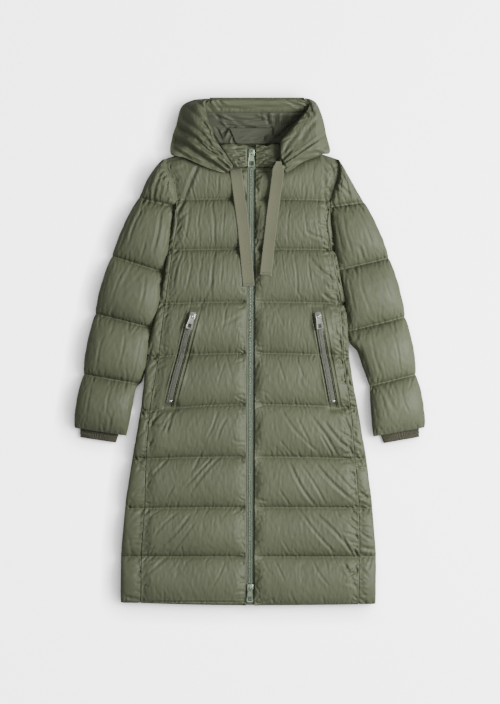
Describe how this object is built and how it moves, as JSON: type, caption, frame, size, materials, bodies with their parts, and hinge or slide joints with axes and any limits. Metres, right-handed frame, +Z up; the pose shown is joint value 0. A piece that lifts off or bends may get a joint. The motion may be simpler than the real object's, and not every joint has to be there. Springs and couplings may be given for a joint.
{
  "type": "long puffer coat",
  "caption": "Long hooded quilted down coat, zipped up and laid flat on its back, with slanted zip pockets, rib cuffs and hood drawstrings.",
  "frame": {"origin": "on the resting surface, under the middle of the coat's outline", "axes": "+Y from the hem towards the hood, +Z up out of the coat's front, +X towards the wearer's left"},
  "size_m": [0.8414, 1.2159, 0.076],
  "materials": {
    "shell": "down-proof nylon taffeta, soft satin sheen",
    "lining": "thin plain-woven lining",
    "rib_knit": "one-by-one rib knit, matt",
    "zip_cloth": "woven zip tape",
    "zip_teeth": "moulded teeth",
    "twill": "twill tape, matt",
    "tinted_metal": "lacquered die-cast zinc, satin",
    "silver_metal": "plated die-cast zinc, satin"
  },
  "bodies": {
    "coat": {"front_right": "shell", "front_left": "shell", "side_right": "shell", "side_left": "shell", "back": "shell", "sleeve_right": "shell", "sleeve_left": "shell", "cuff_right": "rib_knit", "cuff_left": "rib_knit", "collar_right": "shell", "collar_left": "shell", "hood_right": "shell", "hood_left": "shell", "hood_back": "shell", "hood_facing": "shell", "hood_lining": "lining", "neck_facing": "lining", "zip_tape_right": "zip_cloth", "zip_tape_left": "zip_cloth", "zip_chain": "zip_teeth", "slider_top": "tinted_metal", "slider_bottom": "tinted_metal", "pocket_tape_right": "zip_cloth", "pocket_tape_left": "zip_cloth", "pocket_chain_right": "zip_teeth", "pocket_chain_left": "zip_teeth", "pocket_stop_right": "silver_metal", "pocket_stop_left": "silver_metal", "pocket_welt_right": "shell", "pocket_welt_left": "shell", "pocket_slider_right": "silver_metal", "pocket_slider_left": "silver_metal", "drawstring_right": "twill", "drawstring_left": "twill"},
    "top_tab": {"pull_top": "tinted_metal"},
    "bottom_tab": {"pull_bottom": "tinted_metal"},
    "right_pocket_tab": {"pocket_pull_right": "silver_metal"},
    "left_pocket_tab": {"pocket_pull_left": "silver_metal"}
  },
  "joints": [
    {"name": "top_tab_flip", "type": "hinge", "parent": "coat", "child": "top_tab", "pos_m": [0.00355, 0.476, 0.0368], "axis": [-1, 0, 0], "range_deg": [0, 160]},
    {"name": "bottom_tab_flip", "type": "hinge", "parent": "coat", "child": "bottom_tab", "pos_m": [0.00013, -0.566, 0.0368], "axis": [-1, 0, 0], "range_deg": [0, 160]},
    {"name": "right_pocket_tab_flip", "type": "hinge", "parent": "coat", "child": "right_pocket_tab", "pos_m": [-0.13775, 0.08514, 0.05327], "axis": [-0.9682, 0.2501, 0], "range_deg": [0, 160]},
    {"name": "left_pocket_tab_flip", "type": "hinge", "parent": "coat", "child": "left_pocket_tab", "pos_m": [0.1629, 0.08523, 0.0531], "axis": [-0.9834, -0.1812, 0], "range_deg": [0, 160]}
  ]
}
